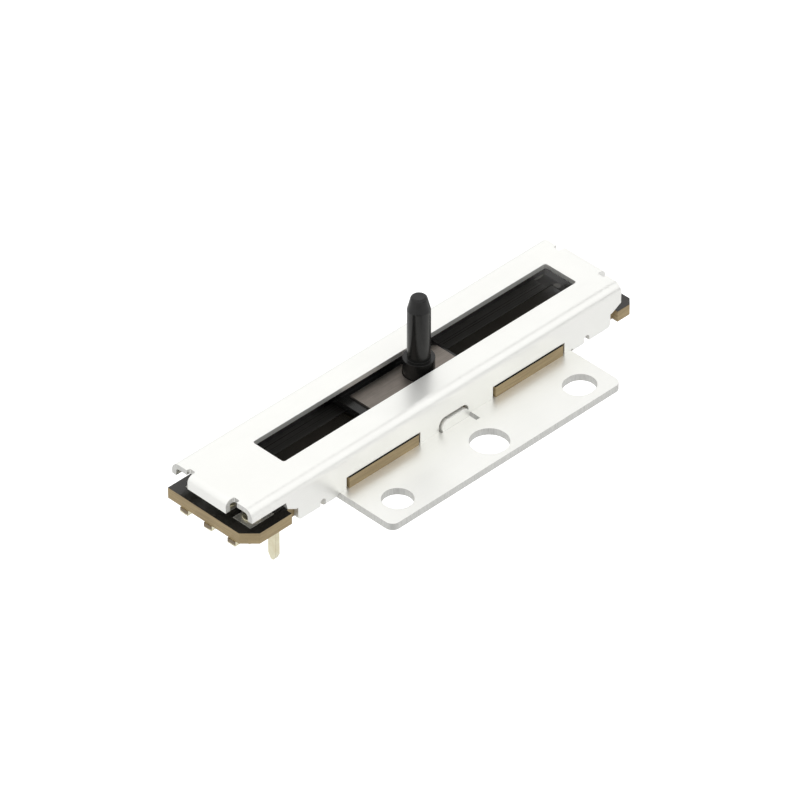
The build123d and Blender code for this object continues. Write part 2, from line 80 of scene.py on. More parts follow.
COVER_LOW, COVER_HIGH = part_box("cover")
BOARD_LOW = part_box("circuit_board")[0]
EYELETS_LOW, EYELETS_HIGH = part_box("terminal_eyelets")
TERMINALS = ("terminal_start", "terminal_wiper", "terminal_end")
AXIS_Y = (COVER_LOW.y + COVER_HIGH.y) / 2
PLATE_TOP = BOARD_LOW.z              # the bracket's sheet lies under the board
PAINTED_SHADE_FROM = 4 * MM               # painted shade: the silver is painted black from this far inside the cover, where the cover shades it
SPOT_SHADE_LEFT = 0.7                      # share of the painted shade left on a painted light spot
TAIL_SHEAR = 0.06 * MM               # how far past the board's end a tail's sheared face starts
TAIL_LOW, TAIL_HIGH = PLATE_TOP - 0.36 * MM, PLATE_TOP - 0.26 * MM
TAIL_TEAR = 0.1 * MM                 # how uneven the line between the torn and the cut part is
END_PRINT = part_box("electrode_end")[1]
PAINTED_LIGHT_SPOTS = (                       # painted light spots inside the cover: x, y from the slot's line, half length, half width
    (END_PRINT.x - 0.7 * MM, 3.3 * MM, 0.6 * MM, 0.2 * MM),
    (END_PRINT.x - 0.4 * MM, 1.3 * MM, 0.35 * MM, 0.35 * MM),
)


SQUARE_ON = 0.9                      # a normal this far along an axis faces along it
UPRIGHT = 0.3                        # a face whose normal rises less than this is upright
WEAR_PATCHES = 2600.0                # patches of worn edge in a metre
HAIR_SCRATCHES = 9000.0              # hair-fine scratches in a metre
BURRS = 9000.0                       # burrs of a sheared edge in a metre
EYELET_BORE = 0.35 * MM              # radii of an eyelet, and its sheet
EYELET_BODY = 0.55 * MM
EYELET_SHEET = 0.15 * MM
ALONG_TRAVEL = (1.0, 0.0, 0.0)
ACROSS_VIEW = (0.7, -0.7, 0.0)
CARDS = (                            # name, direction, level side, width, height, brightness
    ("fold_card_high", (0.553, 0.115, 0.825), ALONG_TRAVEL, 0.10, 0.009, 0.12),
    ("fold_card_low", (0.553, -0.825, 0.116), ALONG_TRAVEL, 0.10, 0.008, 0.12),
    ("lever_card", (-0.553, -0.553, -0.45), ACROSS_VIEW, 0.055, 0.045, 0.15),
)
LAMPS = (                            # name, place from the middle of the object, size, setting
    ("overhead", (0.05, 0.1, 0.5), 0.5, "lamp"),
    ("left_fill", (-0.5, -0.1, 0.25), 0.35, "fill"),
    ("right_fill", (0.35, -0.4, 0.2), 0.35, "fill"),
)


# ---- settings ---------------------------------------------------------------------

def colour(name, description, default):
    """A colour property of a finish."""
    return FloatVectorProperty(name=name, description=description, default=default, size=3,
                               subtype="COLOR", min=0.0, max=1.0)


def share(name, description, default):
    """A property between 0 and 1."""
    return FloatProperty(name=name, description=description, default=default, min=0.0, max=1.0,
                         subtype="FACTOR")


def length(name, description, default):
    """A length property."""
    return FloatProperty(name=name, description=description, default=default, unit="LENGTH",
                         precision=6)


class SheetFinish(bpy.types.PropertyGroup):
    """Bright tin plate on the cover and the bracket."""
    plate: colour("Plate", "Colour of the tin plate", (0.985, 0.985, 0.95))
    plate_shade: colour("Plate shade", "Duller patches of the plate", (0.94, 0.94, 0.905))
    cut: colour("Cut edge", "Bare steel where the sheet was sheared", (0.56, 0.56, 0.54))
    metal: share("Metal", "How metallic the plate is; the rest is its satin haze", 0.72)
    roughness: share("Roughness", "Roughness of the rolled face", 0.3)
    cut_roughness: share("Cut roughness", "Added roughness of a sheared edge", 0.2)
    edge: length("Edge round", "Radius of the broken edges", 0.07 * MM)
    grain: length("Grain", "Width of one streak of the rolling grain", 0.06 * MM)


class LaminateFinish(bpy.types.PropertyGroup):
    """Paper laminate with a black print on its top."""
    printed: colour("Print", "Black print on the top of the board", (0.016, 0.0145, 0.012))
    pale_layer: colour("Pale layer", "Lighter layers of the cut edge", (0.46, 0.355, 0.19))
    dark_layer: colour("Dark layer", "Darker layers of the cut edge", (0.31, 0.23, 0.12))
    underside: colour("Underside", "Bare laminate under the board", (0.36, 0.25, 0.12))
    print_roughness: share("Print roughness", "Roughness of the black print", 0.13)
    edge_roughness: share("Edge roughness", "Roughness of the cut edge", 0.55)
    layer: length("Layer", "Thickness of one layer of the laminate", 0.16 * MM)


class PrintFinish(bpy.types.PropertyGroup):
    """Silver and carbon inks printed on the board."""
    # painted shade: this black stands in for the cover's shade over the silver inside it
    painted_shade: colour("Overcoat", "Black coat over the silver inside the cover", (0.020, 0.018, 0.015))
    silver: colour("Silver", "Silver ink", (0.70, 0.69, 0.65))
    silver_shade: colour("Silver shade", "Darker grains of the silver ink", (0.42, 0.41, 0.37))
    carbon: colour("Carbon", "Carbon ink", (0.020, 0.019, 0.018))
    carbon_worn: colour("Carbon worn", "Lanes polished by the brushes", (0.055, 0.053, 0.050))
    grain: length("Grain", "Size of one grain of ink", 0.04 * MM)


class TerminalFinish(bpy.types.PropertyGroup):
    """Thinly plated brass of the terminals and eyelets, and the contact spring."""
    plated: colour("Plated", "Plated brass", (0.86, 0.82, 0.62))
    brass: colour("Brass", "Brass where the plating is thin", (0.62, 0.50, 0.28))
    sheared: colour("Sheared", "Bare brown metal at the sheared tails", (0.24, 0.19, 0.13))
    contact: colour("Contact", "Contact spring alloy", (0.80, 0.68, 0.40))
    roughness: share("Roughness", "Roughness of the plating", 0.26)
    flare: length("Flare round", "Radius of the eyelets' rolled heads", 0.07 * MM)


class SliderFinish(bpy.types.PropertyGroup):
    """Black moulding and the dull spring plate on it."""
    moulding: colour("Moulding", "Black moulding compound", (0.0085, 0.0085, 0.008))
    moulding_worn: colour("Moulding worn", "Edges rubbed by handling", (0.035, 0.034, 0.032))
    moulding_roughness: share("Moulding roughness", "Roughness of the moulding", 0.2)
    spring: colour("Spring", "Rolled spring sheet", (0.30, 0.265, 0.235))
    spring_shade: colour("Spring shade", "Duller streaks of the spring sheet", (0.20, 0.18, 0.16))
    spring_roughness: share("Spring roughness", "Roughness of the spring sheet", 0.42)


class StageSettings(bpy.types.PropertyGroup):
    """Camera, lamps and floor."""
    azimuth: FloatProperty(name="Azimuth", description="Direction of view round the object, in degrees",
                           default=-44.8)
    elevation: FloatProperty(name="Elevation", description="Height of view above the horizon, in degrees",
                             default=38.27)
    distance: length("Distance", "From the camera to the slot's middle", 0.65)
    lens: FloatProperty(name="Lens", description="Focal length, in millimetres on a 36 mm film",
                        default=345.6, unit="CAMERA")
    aside: length("Aside", "How far the aim lies left of the slot's middle", 1.4175 * MM)
    below: length("Below", "How far the aim lies below the slot's middle", 3.304 * MM)
    floor_drop: length("Floor drop", "From the lowest pin to the floor", 28 * MM)
    floor_lift: share("Floor lift", "White added to the floor where the camera sees it", 0.5)
    floor_size: length("Floor size", "Radius of the floor", 3.0)
    card_distance: length("Card distance", "From the slot's middle to the reflection cards", 0.06)
    world: share("World", "Light of the surroundings", 0.72)
    lamp: FloatProperty(name="Lamp", description="Power of the overhead lamp", default=1.0, unit="POWER")
    fill: FloatProperty(name="Fill", description="Power of each side lamp", default=0.35, unit="POWER")
    segments: IntProperty(name="Floor segments", description="Corners of the round floor", default=96)


# ---- node helpers -----------------------------------------------------------------

def put(tree, kind, inputs=None, **settings):
    """Add a node, set it up, and feed its inputs with values or with other nodes' sockets."""
    made = tree.nodes.new(kind)
    for name, value in settings.items():
        setattr(made, name, value)
    for key, value in (inputs or {}).items():
        if isinstance(value, bpy.types.NodeSocket):
            tree.links.new(value, made.inputs[key])
        else:
            made.inputs[key].default_value = value
    return made


def maths(tree, operation, *values, clamp=False):
    """The result of one arithmetic node."""
    made = put(tree, "ShaderNodeMath", dict(enumerate(values)), operation=operation, use_clamp=clamp)
    return made.outputs[0]


def ramp(tree, value, low, high, to_low=0.0, to_high=1.0):
    """A value stretched from one range to another, held at its ends."""
    made = put(tree, "ShaderNodeMapRange", {"Value": value, "From Min": low, "From Max": high,
                                            "To Min": to_low, "To Max": to_high})
    return made.outputs["Result"]


def blend(tree, amount, first, second):
    """Two colours mixed by an amount."""
    made = put(tree, "ShaderNodeMix", data_type="RGBA")
    for socket, value in ((made.inputs[0], amount), (made.inputs[6], first), (made.inputs[7], second)):
        if isinstance(value, bpy.types.NodeSocket):
            tree.links.new(value, socket)
        elif socket.type == "RGBA":
            socket.default_value = (*value, 1.0)
        else:
            socket.default_value = value
    return made.outputs[2]


def place(tree):
    """The point being shaded, in the shared frame."""
    return put(tree, "ShaderNodeTexCoord").outputs["Object"]


def axes(tree, vector):
    """The three parts of a vector."""
    return put(tree, "ShaderNodeSeparateXYZ", {"Vector": vector}).outputs


def noise(tree, vector, scale, detail=3.0):
    """Smooth noise between 0 and 1."""
    made = put(tree, "ShaderNodeTexNoise", {"Vector": vector, "Scale": scale, "Detail": detail})
    return made.outputs["Fac"]


def stretched(tree, vector, x, y, z):
    """A vector with its three parts scaled."""
    factors = put(tree, "ShaderNodeCombineXYZ", {"X": x, "Y": y, "Z": z}).outputs[0]
    made = put(tree, "ShaderNodeVectorMath", {0: vector, 1: factors}, operation="MULTIPLY")
    return made.outputs[0]


def new_group(name, inputs, outputs):
    """An empty shader node group, with the sockets of its input node and its output node."""
    tree = bpy.data.node_groups.new(name, "ShaderNodeTree")
    for label, default in inputs.items():
        socket = tree.interface.new_socket(label, in_out="INPUT", socket_type="NodeSocketFloat")
        socket.default_value = default
    for label in outputs:
        kind = "NodeSocketVector" if label == "Normal" else "NodeSocketFloat"
        tree.interface.new_socket(label, in_out="OUTPUT", socket_type=kind)
    return tree, tree.nodes.new("NodeGroupInput").outputs, tree.nodes.new("NodeGroupOutput").inputs


def use(tree, name, **values):
    """Place a finished node group in a material and return its outputs."""
    made = put(tree, "ShaderNodeGroup", node_tree=bpy.data.node_groups[name])
    for label, value in values.items():
        made.inputs[label.replace("_", " ").capitalize()].default_value = value
    return made.outputs


# ---- effects that several materials use -------------------------------------------

def make_grain_group():
    """Rolling grain: fine streaks that run along the sheet."""
    tree, given, result = new_group("rolled_grain", {"Width": 0.05 * MM, "Length": 40.0}, ["Streaks"])
    along = maths(tree, "DIVIDE", 1.0, given["Length"])
    fine = maths(tree, "DIVIDE", 1.0, given["Width"])
    point = stretched(tree, place(tree), along, 1.0, 1.0)
    tree.links.new(ramp(tree, noise(tree, point, fine, 4.0), 0.3, 0.7), result["Streaks"])


def make_mottle_group():
    """Slow cloudy variation over a surface."""
    tree, given, result = new_group("mottle", {"Size": 2 * MM, "Contrast": 0.3}, ["Shade"])
    value = noise(tree, place(tree), maths(tree, "DIVIDE", 1.0, given["Size"]), 5.0)
    low = maths(tree, "ADD", 0.3, maths(tree, "MULTIPLY", given["Contrast"], 0.15))
    high = maths(tree, "SUBTRACT", 0.75, maths(tree, "MULTIPLY", given["Contrast"], 0.15))
    tree.links.new(ramp(tree, value, low, high), result["Shade"])


def make_edge_group():
    """Broken edges: a normal that rounds them, and a mask of where they are, worn unevenly."""
    tree, given, result = new_group("broken_edges", {"Radius": 0.05 * MM, "Uneven": 0.5},
                                    ["Wear", "Normal"])
    rounded = put(tree, "ShaderNodeBevel", {"Radius": given["Radius"]}, samples=6).outputs[0]
    flat = put(tree, "ShaderNodeNewGeometry").outputs["Normal"]
    likeness = put(tree, "ShaderNodeVectorMath", {0: rounded, 1: flat}, operation="DOT_PRODUCT")
    edge = ramp(tree, likeness.outputs["Value"], 0.98, 0.8)
    patches = ramp(tree, noise(tree, place(tree), WEAR_PATCHES, 4.0), 0.35, 0.65)
    kept = maths(tree, "SUBTRACT", 1.0, maths(tree, "MULTIPLY", given["Uneven"], patches))
    tree.links.new(maths(tree, "MULTIPLY", edge, kept), result["Wear"])
    tree.links.new(rounded, result["Normal"])


def make_scratch_group():
    """Sparse hair-fine handling scratches in one direction."""
    tree, given, result = new_group("hair_scratches", {"Turn": 0.4, "Amount": 0.5}, ["Scratches"])
    turned = put(tree, "ShaderNodeVectorRotate", {"Vector": place(tree), "Angle": given["Turn"]},
                 rotation_type="Z_AXIS").outputs[0]
    line = noise(tree, stretched(tree, turned, 0.012, 1.0, 1.0), HAIR_SCRATCHES, 1.0)
    thin = ramp(tree, maths(tree, "ABSOLUTE", maths(tree, "SUBTRACT", line, 0.5)), 0.012, 0.0)
    sparse = ramp(tree, noise(tree, turned, 520.0, 2.0), 0.52, 0.62)
    value = maths(tree, "MULTIPLY", maths(tree, "MULTIPLY", thin, sparse), given["Amount"])
    tree.links.new(value, result["Scratches"])


def make_speckle_group():
    """Fine grains, as in an ink, a laminate or a moulding."""
    tree, given, result = new_group("fine_grains", {"Size": 0.04 * MM}, ["Grains"])
    fine = maths(tree, "DIVIDE", 1.0, given["Size"])
    cells = put(tree, "ShaderNodeTexVoronoi", {"Vector": place(tree), "Scale": fine}).outputs["Distance"]
    cloud = noise(tree, place(tree), fine, 2.0)
    tree.links.new(maths(tree, "MULTIPLY", ramp(tree, cells, 0.1, 0.8), cloud), result["Grains"])


def make_effects():
    """Build every shared node group once."""
    for make in (make_grain_group, make_mottle_group, make_edge_group, make_scratch_group,
                 make_speckle_group):
        make()


# ---- materials --------------------------------------------------------------------

def new_material(name):
    """A material with one Principled shader, and the tree and shader to build on."""
    made = bpy.data.materials.new(name)
    made.use_nodes = True
    tree = made.node_tree
    tree.nodes.clear()
    shader = put(tree, "ShaderNodeBsdfPrincipled")
    put(tree, "ShaderNodeOutputMaterial", {"Surface": shader.outputs[0]})
    return made, tree, shader


def feed(tree, shader, **values):
    """Set or link the shader's inputs, named in lower case."""
    for label, value in values.items():
        socket = shader.inputs[label.replace("_", " ").title().replace("Ior", "IOR")]
        if isinstance(value, bpy.types.NodeSocket):
            tree.links.new(value, socket)
        else:
            socket.default_value = value


def bumped(tree, height, distance, normal):
    """A normal raised by a height, over a rounded normal."""
    made = put(tree, "ShaderNodeBump", {"Height": height, "Distance": distance, "Normal": normal})
    return made.outputs[0]


def facing(tree):
    """The three parts of the true surface normal, without their signs, and the signed upward one."""
    x, y, z = axes(tree, put(tree, "ShaderNodeNewGeometry").outputs["True Normal"])
    return maths(tree, "ABSOLUTE", x), maths(tree, "ABSOLUTE", y), z


def cut_of_cover(tree):
    """Mask of the cover's sheared edges: its ends, its feet and its windows, but not its slot."""
    x, y, z = axes(tree, place(tree))
    endways, _, up = facing(tree)
    inside_ends = maths(tree, "MULTIPLY", maths(tree, "GREATER_THAN", x, COVER_LOW.x + SEAM),
                        maths(tree, "LESS_THAN", x, COVER_HIGH.x - SEAM))
    off_axis = maths(tree, "ABSOLUTE", maths(tree, "SUBTRACT", y, AXIS_Y))
    half = (COVER_HIGH.y - COVER_LOW.y) / 2
    off_slot = maths(tree, "GREATER_THAN", off_axis, half / 2)
    ends = maths(tree, "MULTIPLY", maths(tree, "GREATER_THAN", endways, SQUARE_ON), inside_ends)
    ends = maths(tree, "MULTIPLY", ends, off_slot)
    low = maths(tree, "LESS_THAN", z, COVER_HIGH.z - 1 * MM)
    feet = maths(tree, "MULTIPLY", maths(tree, "LESS_THAN", up, -SQUARE_ON), low)
    return maths(tree, "ADD", ends, feet, clamp=True)


def cut_of_bracket(tree):
    """Mask of the bracket's sheared edges: every upright face within the sheet's thickness."""
    z = axes(tree, place(tree))[2]
    up = facing(tree)[2]
    upright = maths(tree, "LESS_THAN", maths(tree, "ABSOLUTE", up), UPRIGHT)
    return maths(tree, "MULTIPLY", upright, maths(tree, "LESS_THAN", z, PLATE_TOP + SEAM))


def make_sheet_material(name, finish, find_cut):
    """Bright tin plate with rolling grain, handling scratches and darker sheared edges."""
    made, tree, shader = new_material(name)
    cut = find_cut(tree)
    face = maths(tree, "SUBTRACT", 1.0, cut)
    streaks = use(tree, "rolled_grain", width=finish.grain, length=45.0)["Streaks"]
    burrs = noise(tree, stretched(tree, place(tree), 1.0, 1.0, 0.15), BURRS, 3.0)
    clouds = use(tree, "mottle", size=3.2 * MM, contrast=0.4)["Shade"]
    scratches = maths(tree, "ADD", use(tree, "hair_scratches", turn=0.35, amount=0.5)["Scratches"],
                      use(tree, "hair_scratches", turn=-0.9, amount=0.35)["Scratches"])
    edges = use(tree, "broken_edges", radius=finish.edge, uneven=0.4)
    dull = maths(tree, "ADD", maths(tree, "MULTIPLY", clouds, 0.3), maths(tree, "MULTIPLY", streaks, 0.25))
    plate = blend(tree, dull, finish.plate, finish.plate_shade)
    plate = blend(tree, maths(tree, "MULTIPLY", scratches, 0.25), plate, (0.8, 0.8, 0.78))
    bare = blend(tree, burrs, finish.cut, [part * 1.5 for part in finish.cut])
    tone = blend(tree, cut, plate, bare)
    tone = blend(tree, maths(tree, "MULTIPLY", edges["Wear"], 0.12), tone, (0.75, 0.75, 0.73))
    rough = maths(tree, "ADD", finish.roughness, maths(tree, "MULTIPLY", streaks, 0.07))
    rough = maths(tree, "ADD", rough, maths(tree, "MULTIPLY", clouds, 0.06))
    rough = maths(tree, "ADD", rough, maths(tree, "MULTIPLY", cut, finish.cut_roughness))
    height = maths(tree, "ADD", maths(tree, "MULTIPLY", streaks, 0.25), scratches)
    height = maths(tree, "ADD", maths(tree, "MULTIPLY", height, face), maths(tree, "MULTIPLY", burrs, cut))
    normal = bumped(tree, height, 0.0006 * MM, edges["Normal"])
    feed(tree, shader, base_color=tone, metallic=finish.metal, roughness=rough, normal=normal)
    return made


def make_laminate_material(finish):
    """Layered paper laminate, printed glossy black on its top, with a little of the print chipped off."""
    made, tree, shader = new_material("board_laminate")
    point = place(tree)
    up = facing(tree)[2]
    top = maths(tree, "GREATER_THAN", up, 0.5)
    under = maths(tree, "LESS_THAN", up, -0.5)
    edges = use(tree, "broken_edges", radius=0.06 * MM, uneven=0.9)
    fine = 1.0 / finish.layer
    layers = noise(tree, stretched(tree, point, 0.06, 0.06, 1.0), fine, 4.0)
    fibres = noise(tree, stretched(tree, point, 0.5, 0.5, 1.0), fine * 3, 3.0)
    grains = use(tree, "fine_grains", size=0.07 * MM)["Grains"]
    clouds = use(tree, "mottle", size=2.4 * MM, contrast=0.5)["Shade"]
    mix = maths(tree, "ADD", ramp(tree, layers, 0.35, 0.65), maths(tree, "MULTIPLY", fibres, 0.35))
    side = blend(tree, maths(tree, "MULTIPLY", mix, 0.74), finish.dark_layer, finish.pale_layer)
    side = blend(tree, maths(tree, "MULTIPLY", grains, 0.4), side, (0.10, 0.07, 0.04))
    weave = blend(tree, clouds, finish.underside, [part * 0.78 for part in finish.underside])
    printed = blend(tree, maths(tree, "MULTIPLY", clouds, 0.3), finish.printed, (0.028, 0.025, 0.021))
    chip = ramp(tree, maths(tree, "MULTIPLY", edges["Wear"], grains), 0.2, 0.45)
    printed = blend(tree, chip, printed, finish.pale_layer)
    tone = blend(tree, under, side, weave)
    tone = blend(tree, top, tone, printed)
    rough = maths(tree, "ADD", finish.edge_roughness, maths(tree, "MULTIPLY", fibres, 0.15))
    gloss = maths(tree, "ADD", finish.print_roughness, maths(tree, "MULTIPLY", clouds, 0.07))
    rough = maths(tree, "ADD", maths(tree, "MULTIPLY", rough, maths(tree, "SUBTRACT", 1.0, top)),
                  maths(tree, "MULTIPLY", gloss, top))
    height = maths(tree, "MULTIPLY", maths(tree, "ADD", layers, fibres), maths(tree, "SUBTRACT", 1.0, top))
    height = maths(tree, "ADD", height, maths(tree, "MULTIPLY", grains, 0.04))
    normal = bumped(tree, height, 0.012 * MM, edges["Normal"])
    feed(tree, shader, base_color=tone, roughness=rough, normal=normal, ior=1.5)
    return made


def make_silver_material(finish):
    """Silver ink: a grainy satin metal, painted black inside the cover as painted shade, with two lighter
    spots of painted light.
    """
    made, tree, shader = new_material("silver_ink")
    grains = use(tree, "fine_grains", size=finish.grain)["Grains"]
    clouds = use(tree, "mottle", size=0.8 * MM, contrast=0.4)["Shade"]
    edges = use(tree, "broken_edges", radius=0.03 * MM, uneven=0.5)
    silver = blend(tree, maths(tree, "ADD", grains, maths(tree, "MULTIPLY", clouds, 0.4)),
                   finish.silver, finish.silver_shade)
    x, y, _ = axes(tree, place(tree))
    # painted shade: mask of the silver inside the cover, which is painted black
    shade_mask = maths(tree, "GREATER_THAN", x, COVER_LOW.x + PAINTED_SHADE_FROM)
    # painted light: each spot thins the painted shade where light reaches the silver
    for at_x, at_y, long, wide in PAINTED_LIGHT_SPOTS:
        along = maths(tree, "DIVIDE", maths(tree, "SUBTRACT", x, at_x), long)
        across = maths(tree, "DIVIDE", maths(tree, "SUBTRACT", y, AXIS_Y + at_y), wide)
        squares = maths(tree, "ADD", maths(tree, "MULTIPLY", along, along),
                        maths(tree, "MULTIPLY", across, across))
        shade_mask = maths(tree, "MULTIPLY", shade_mask, ramp(tree, squares, 0.6, 1.4, SPOT_SHADE_LEFT, 1.0))
    # painted shade: the silver inside the cover is mixed to black
    tone = blend(tree, shade_mask, silver, finish.painted_shade)
    rough = ramp(tree, grains, 0.0, 0.6, 0.38, 0.6)
    normal = bumped(tree, grains, 0.006 * MM, edges["Normal"])
    # the painted shade also takes away the silver's metal
    metal = ramp(tree, shade_mask, 0.0, 1.0, 0.85, 0.0)
    feed(tree, shader, base_color=tone, metallic=metal, roughness=rough, normal=normal)
    return made


def make_carbon_material(finish):
    """Carbon ink with lanes polished by the brushes."""
    made, tree, shader = new_material("carbon_ink")
    grains = use(tree, "fine_grains", size=finish.grain)["Grains"]
    lanes = use(tree, "rolled_grain", width=0.12 * MM, length=400.0)["Streaks"]
    tone = blend(tree, maths(tree, "MULTIPLY", lanes, 0.6), finish.carbon, finish.carbon_worn)
    rough = ramp(tree, lanes, 0.0, 1.0, 0.46, 0.24)
    edges = use(tree, "broken_edges", radius=0.03 * MM, uneven=0.5)
    normal = bumped(tree, grains, 0.004 * MM, edges["Normal"])
    feed(tree, shader, base_color=tone, roughness=rough, normal=normal, ior=1.55)
    return made


def make_plated_material(name, plated, brass, sheared, roughness):
    """Thin bright plating over brass, worn through in patches and along the edges."""
    made, tree, shader = new_material(name)
    clouds = use(tree, "mottle", size=0.7 * MM, contrast=0.6)["Shade"]
    streaks = use(tree, "rolled_grain", width=0.05 * MM, length=20.0)["Streaks"]
    edges = use(tree, "broken_edges", radius=0.05 * MM, uneven=0.5)
    thin = maths(tree, "ADD", maths(tree, "MULTIPLY", clouds, 0.3),
                 maths(tree, "MULTIPLY", edges["Wear"], 0.4))
    tone = blend(tree, thin, plated, brass)
    x, _, z = axes(tree, place(tree))
    tail = maths(tree, "LESS_THAN", x, BOARD_LOW.x - TAIL_SHEAR)
    height = maths(tree, "ADD", z, maths(tree, "MULTIPLY", clouds, TAIL_TEAR))
    torn = ramp(tree, height, TAIL_LOW, TAIL_HIGH)
    tone = blend(tree, maths(tree, "MULTIPLY", tail, torn), tone, sheared)
    rough = maths(tree, "ADD", roughness, maths(tree, "MULTIPLY", streaks, 0.1))
    normal = bumped(tree, streaks, 0.001 * MM, edges["Normal"])
    feed(tree, shader, base_color=tone, metallic=1.0, roughness=rough, normal=normal)
    return made


def make_moulding_material(finish):
    """Smooth black moulding with a faint orange-peel skin and rubbed edges."""
    made, tree, shader = new_material("black_moulding")
    grains = use(tree, "fine_grains", size=0.06 * MM)["Grains"]
    clouds = use(tree, "mottle", size=0.9 * MM, contrast=0.3)["Shade"]
    edges = use(tree, "broken_edges", radius=0.06 * MM, uneven=0.6)
    worn = maths(tree, "ADD", maths(tree, "MULTIPLY", edges["Wear"], 0.6),
                 maths(tree, "MULTIPLY", clouds, 0.12))
    tone = blend(tree, worn, finish.moulding, finish.moulding_worn)
    rough = maths(tree, "ADD", finish.moulding_roughness, maths(tree, "MULTIPLY", grains, 0.12))
    normal = bumped(tree, maths(tree, "ADD", grains, clouds), 0.002 * MM, edges["Normal"])
    feed(tree, shader, base_color=tone, roughness=rough, normal=normal, ior=1.42)
    return made


def make_spring_material(finish):
    """Dull rolled spring sheet with streaks and rub marks."""
    made, tree, shader = new_material("spring_sheet")
    streaks = use(tree, "rolled_grain", width=0.07 * MM, length=30.0)["Streaks"]
    clouds = use(tree, "mottle", size=1.4 * MM, contrast=0.5)["Shade"]
    scratches = use(tree, "hair_scratches", turn=0.06, amount=0.7)["Scratches"]
    edges = use(tree, "broken_edges", radius=0.05 * MM, uneven=0.4)
    dull = maths(tree, "ADD", maths(tree, "MULTIPLY", streaks, 0.45), maths(tree, "MULTIPLY", clouds, 0.45))
    tone = blend(tree, dull, finish.spring, finish.spring_shade)
    tone = blend(tree, maths(tree, "MULTIPLY", maths(tree, "ADD", edges["Wear"], scratches), 0.4),
                 tone, (0.55, 0.53, 0.50))
    rough = maths(tree, "ADD", finish.spring_roughness, maths(tree, "MULTIPLY", streaks, 0.1))
    normal = bumped(tree, maths(tree, "ADD", streaks, scratches), 0.0015 * MM, edges["Normal"])
    feed(tree, shader, base_color=tone, metallic=1.0, roughness=rough, normal=normal)
    return made


def wear(node, material):
    """Give a CAD node its finish."""
    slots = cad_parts[node].data.materials
    slots.clear()
    slots.append(material)


# ---- mesh pieces ------------------------------------------------------------------

def ring(bm, centre, radius, z, corners):
    """One circle of vertices round an upright axis."""
    points = []
    for index in range(corners):
        angle = 2 * math.pi * index / corners
        points.append(bm.verts.new((centre.x + radius * math.cos(angle),
                                    centre.y + radius * math.sin(angle), z)))
    return points


def turned_profile(bore, body, flange, low, high, thickness, flare):
    """Closed outline of a rolled eyelet, as pairs of radius and height, from the bore outwards."""
    outline = []
    steps = 6
    for face, way in ((high, -1), (low, 1)):
        rolled = [(bore + flare * (1 - math.sin(turn)), face + way * flare * (1 - math.cos(turn)))
                  for turn in (math.pi / 2 * step / steps for step in range(steps, -1, -1))]
        rim = [(flange - thickness / 2 * (1 - math.sin(turn)),
                face + way * thickness / 2 * (1 - math.cos(turn)))
               for turn in (math.pi * step / (2 * steps) for step in range(2 * steps + 1))]
        foot = [(body, face + way * thickness)]
        half = rolled + rim + foot
        outline += half if face == high else half[::-1]
    return outline


def turn_piece(bm, centre, outline, corners=48):
    """Sweep a closed outline round an upright axis through a point."""
    rings = [ring(bm, centre, radius, z, corners) for radius, z in outline]
    for first, second in zip(rings, rings[1:] + rings[:1]):
        for index in range(corners):
            after = (index + 1) % corners
            bm.faces.new((first[index], first[after], second[after], second[index]))


def mesh_piece(name, bm, material):
    """A new object from a finished bmesh, smooth but for its corners."""
    bmesh.ops.recalc_face_normals(bm, faces=bm.faces)
    data = bpy.data.meshes.new(name)
    bm.to_mesh(data)
    bm.free()
    data.materials.append(material)
    for polygon in data.polygons:
        polygon.use_smooth = True
    data.set_sharp_from_angle(angle=math.radians(40))
    made = bpy.data.objects.new(name, data)
    bpy.context.scene.collection.objects.link(made)
    return made


# ---- operators --------------------------------------------------------------------

class SENSOR_OT_effects(bpy.types.Operator):
    """Build the node groups that the finishes share"""
    bl_idname = "sensor.effects"
    bl_label = "Shared effects"

    def execute(self, context):
        make_effects()
        return {"FINISHED"}


class SENSOR_OT_sheet(bpy.types.Operator):
    """Finish the cover and the bracket as bright tin plate"""
    bl_idname = "sensor.sheet"
    bl_label = "Cover and bracket"

    def execute(self, context):
        finish = context.scene.sensor_sheet
        wear("cover", make_sheet_material("cover_plate", finish, cut_of_cover))
        wear("mounting_bracket", make_sheet_material("bracket_plate", finish, cut_of_bracket))
        return {"FINISHED"}


class SENSOR_OT_board(bpy.types.Operator):
    """Finish the board as layered laminate with a black print"""
    bl_idname = "sensor.board"
    bl_label = "Circuit board"

    def execute(self, context):
        wear("circuit_board", make_laminate_material(context.scene.sensor_laminate))
        return {"FINISHED"}


class SENSOR_OT_prints(bpy.types.Operator):
    """Finish the tracks as carbon ink and the electrodes as silver ink"""
    bl_idname = "sensor.prints"
    bl_label = "Tracks and electrodes"

    def execute(self, context):
        silver = make_silver_material(context.scene.sensor_prints)
        carbon = make_carbon_material(context.scene.sensor_prints)
        for node in ("electrode_start", "electrode_wiper", "electrode_end"):
            wear(node, silver)
        for node in ("resistive_track", "collector_track"):
            wear(node, carbon)
        return {"FINISHED"}


class SENSOR_OT_terminals(bpy.types.Operator):
    """Finish the terminals and turn the rolled eyelets that hold them"""
    bl_idname = "sensor.terminals"
    bl_label = "Terminals and eyelets"

    def execute(self, context):
        finish = context.scene.sensor_terminals
        plated = make_plated_material("plated_brass", finish.plated, finish.brass, finish.sheared,
                                      finish.roughness)
        for node in TERMINALS:
            wear(node, plated)
        low, high = EYELETS_LOW, EYELETS_HIGH
        flange = (high.x - low.x) / 2
        bm = bmesh.new()
        outline = turned_profile(EYELET_BORE, EYELET_BODY, flange, low.z, high.z, EYELET_SHEET,
                                 finish.flare)
        for node in TERMINALS:
            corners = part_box(node)
            centre = Vector(((low.x + high.x) / 2, (corners[0].y + corners[1].y) / 2, 0.0))
            turn_piece(bm, centre, outline)
        eyelets = mesh_piece("rolled_eyelets", bm, plated)
        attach(eyelets, "base")
        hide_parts("terminal_eyelets")
        return {"FINISHED"}


